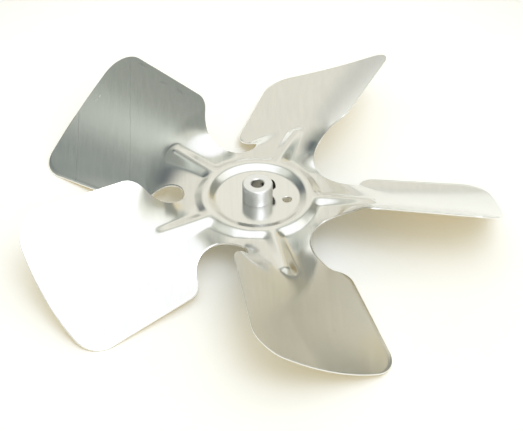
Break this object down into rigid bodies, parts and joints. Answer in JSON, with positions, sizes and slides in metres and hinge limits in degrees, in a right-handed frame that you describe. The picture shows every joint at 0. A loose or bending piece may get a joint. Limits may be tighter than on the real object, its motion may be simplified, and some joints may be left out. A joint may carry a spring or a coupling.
{
  "type": "axial fan impeller",
  "caption": "Pressed aluminium axial fan impeller with pitched blades, ribbed sheet centre and a turned hub clamped on the shaft by a set screw.",
  "frame": {"origin": "on the shaft axis, at the level of the upper face of the flat sheet centre", "axes": "+Z along the shaft axis, out of the open end of the hub; +X along the middle of one blade"},
  "size_m": [0.2937, 0.3036, 0.0475],
  "materials": {
    "blade_sheet": "bright rolled sheet with fine grain and light handling marks",
    "hub": "bright turned with fine tool rings",
    "set_screw": "black oxide, slightly oily"
  },
  "bodies": {
    "root": {"blade_sheet": "blade_sheet", "hub": "hub", "set_screw": "set_screw"}
  },
  "joints": []
}
